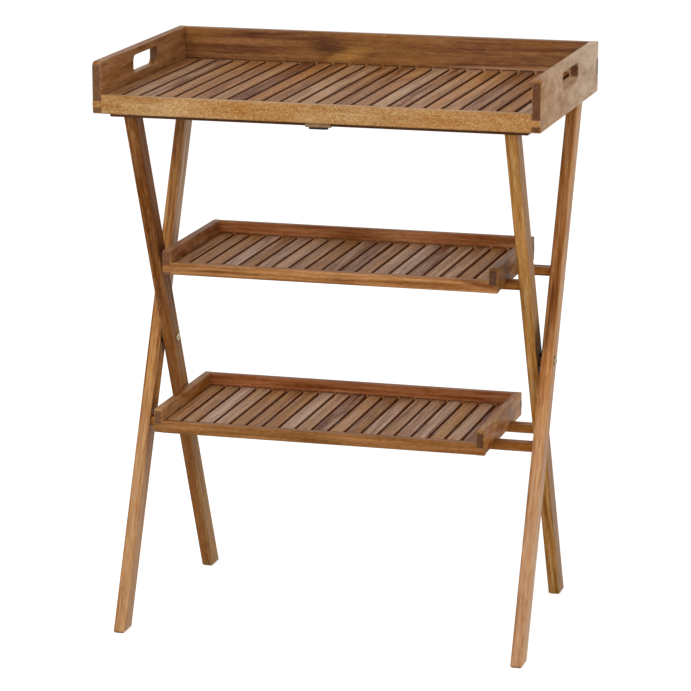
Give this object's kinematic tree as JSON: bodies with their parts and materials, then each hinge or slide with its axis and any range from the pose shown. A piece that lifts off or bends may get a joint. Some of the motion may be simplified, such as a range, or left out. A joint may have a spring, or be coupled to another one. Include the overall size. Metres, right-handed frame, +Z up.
{
  "type": "folding tray table",
  "caption": "Folding hardwood serving stand: crossed leg frames with a deep-sided slatted lift-off tray on top and slatted lift-off shelves below.",
  "frame": {"origin": "on the floor, under the middle of the tray", "axes": "+X to the right of a person who faces the front rail, +Y to the back, +Z up"},
  "size_m": [0.64, 0.388, 0.833],
  "materials": {
    "frame_wood": "oiled",
    "board_wood": "oiled",
    "slat_wood": "oiled",
    "black_steel": "satin black",
    "zinc_plated_steel": "zinc plated"
  },
  "bodies": {
    "inner_frame": {"inner_left_leg": "frame_wood", "inner_right_leg": "frame_wood", "inner_top_rail": "frame_wood", "inner_top_rail_screws": "zinc_plated_steel", "inner_middle_rail": "frame_wood", "inner_lower_rail": "frame_wood"},
    "outer_frame": {"outer_left_leg": "frame_wood", "outer_right_leg": "frame_wood", "outer_top_rail": "frame_wood", "outer_top_rail_screws": "zinc_plated_steel", "outer_middle_rail": "frame_wood", "outer_lower_rail": "frame_wood", "pivot_bolts": "zinc_plated_steel", "pivot_washers": "zinc_plated_steel", "pivot_sleeve_nuts": "zinc_plated_steel"},
    "lower_shelf": {"lower_shelf_left_end": "board_wood", "lower_shelf_right_end": "board_wood", "lower_shelf_front_rail": "board_wood", "lower_shelf_back_board": "board_wood", "lower_shelf_front_cleat": "board_wood", "lower_shelf_rear_cleat": "board_wood", "lower_shelf_slats": "slat_wood"},
    "middle_shelf": {"middle_shelf_left_end": "board_wood", "middle_shelf_right_end": "board_wood", "middle_shelf_front_rail": "board_wood", "middle_shelf_back_board": "board_wood", "middle_shelf_front_cleat": "board_wood", "middle_shelf_rear_cleat": "board_wood", "middle_shelf_slats": "slat_wood"},
    "tray": {"tray_left_end": "board_wood", "tray_right_end": "board_wood", "tray_front_rail": "board_wood", "tray_back_board": "board_wood", "tray_front_cleat": "board_wood", "tray_rear_cleat": "board_wood", "tray_slats": "slat_wood", "catch_block": "board_wood", "catch_screw": "black_steel"},
    "catch": {"catch_plate": "black_steel"}
  },
  "joints": [
    {"name": "fold", "type": "hinge", "parent": "inner_frame", "child": "outer_frame", "pos_m": [0, 0, 0.4], "axis": [1, 0, 0], "range_deg": [0, 35]},
    {"name": "lower_shelf_lift", "type": "slide", "parent": "inner_frame", "child": "lower_shelf", "axis": [0, 0, 1], "range_m": [0, 0.185]},
    {"name": "middle_shelf_lift", "type": "slide", "parent": "lower_shelf", "child": "middle_shelf", "axis": [0, 0, 1], "range_m": [0, 0.03]},
    {"name": "tray_lift", "type": "slide", "parent": "lower_shelf", "child": "tray", "axis": [0, 0, 1], "range_m": [0, 0.2]},
    {"name": "catch_turn", "type": "hinge", "parent": "tray", "child": "catch", "pos_m": [0.006, -0.1855, 0.752], "axis": [0, 0, 1], "range_deg": [0, 90]}
  ],
  "couplings": [
    {"joint": "lower_shelf_lift", "follows": "fold", "m_per_rad": 0.3}
  ]
}
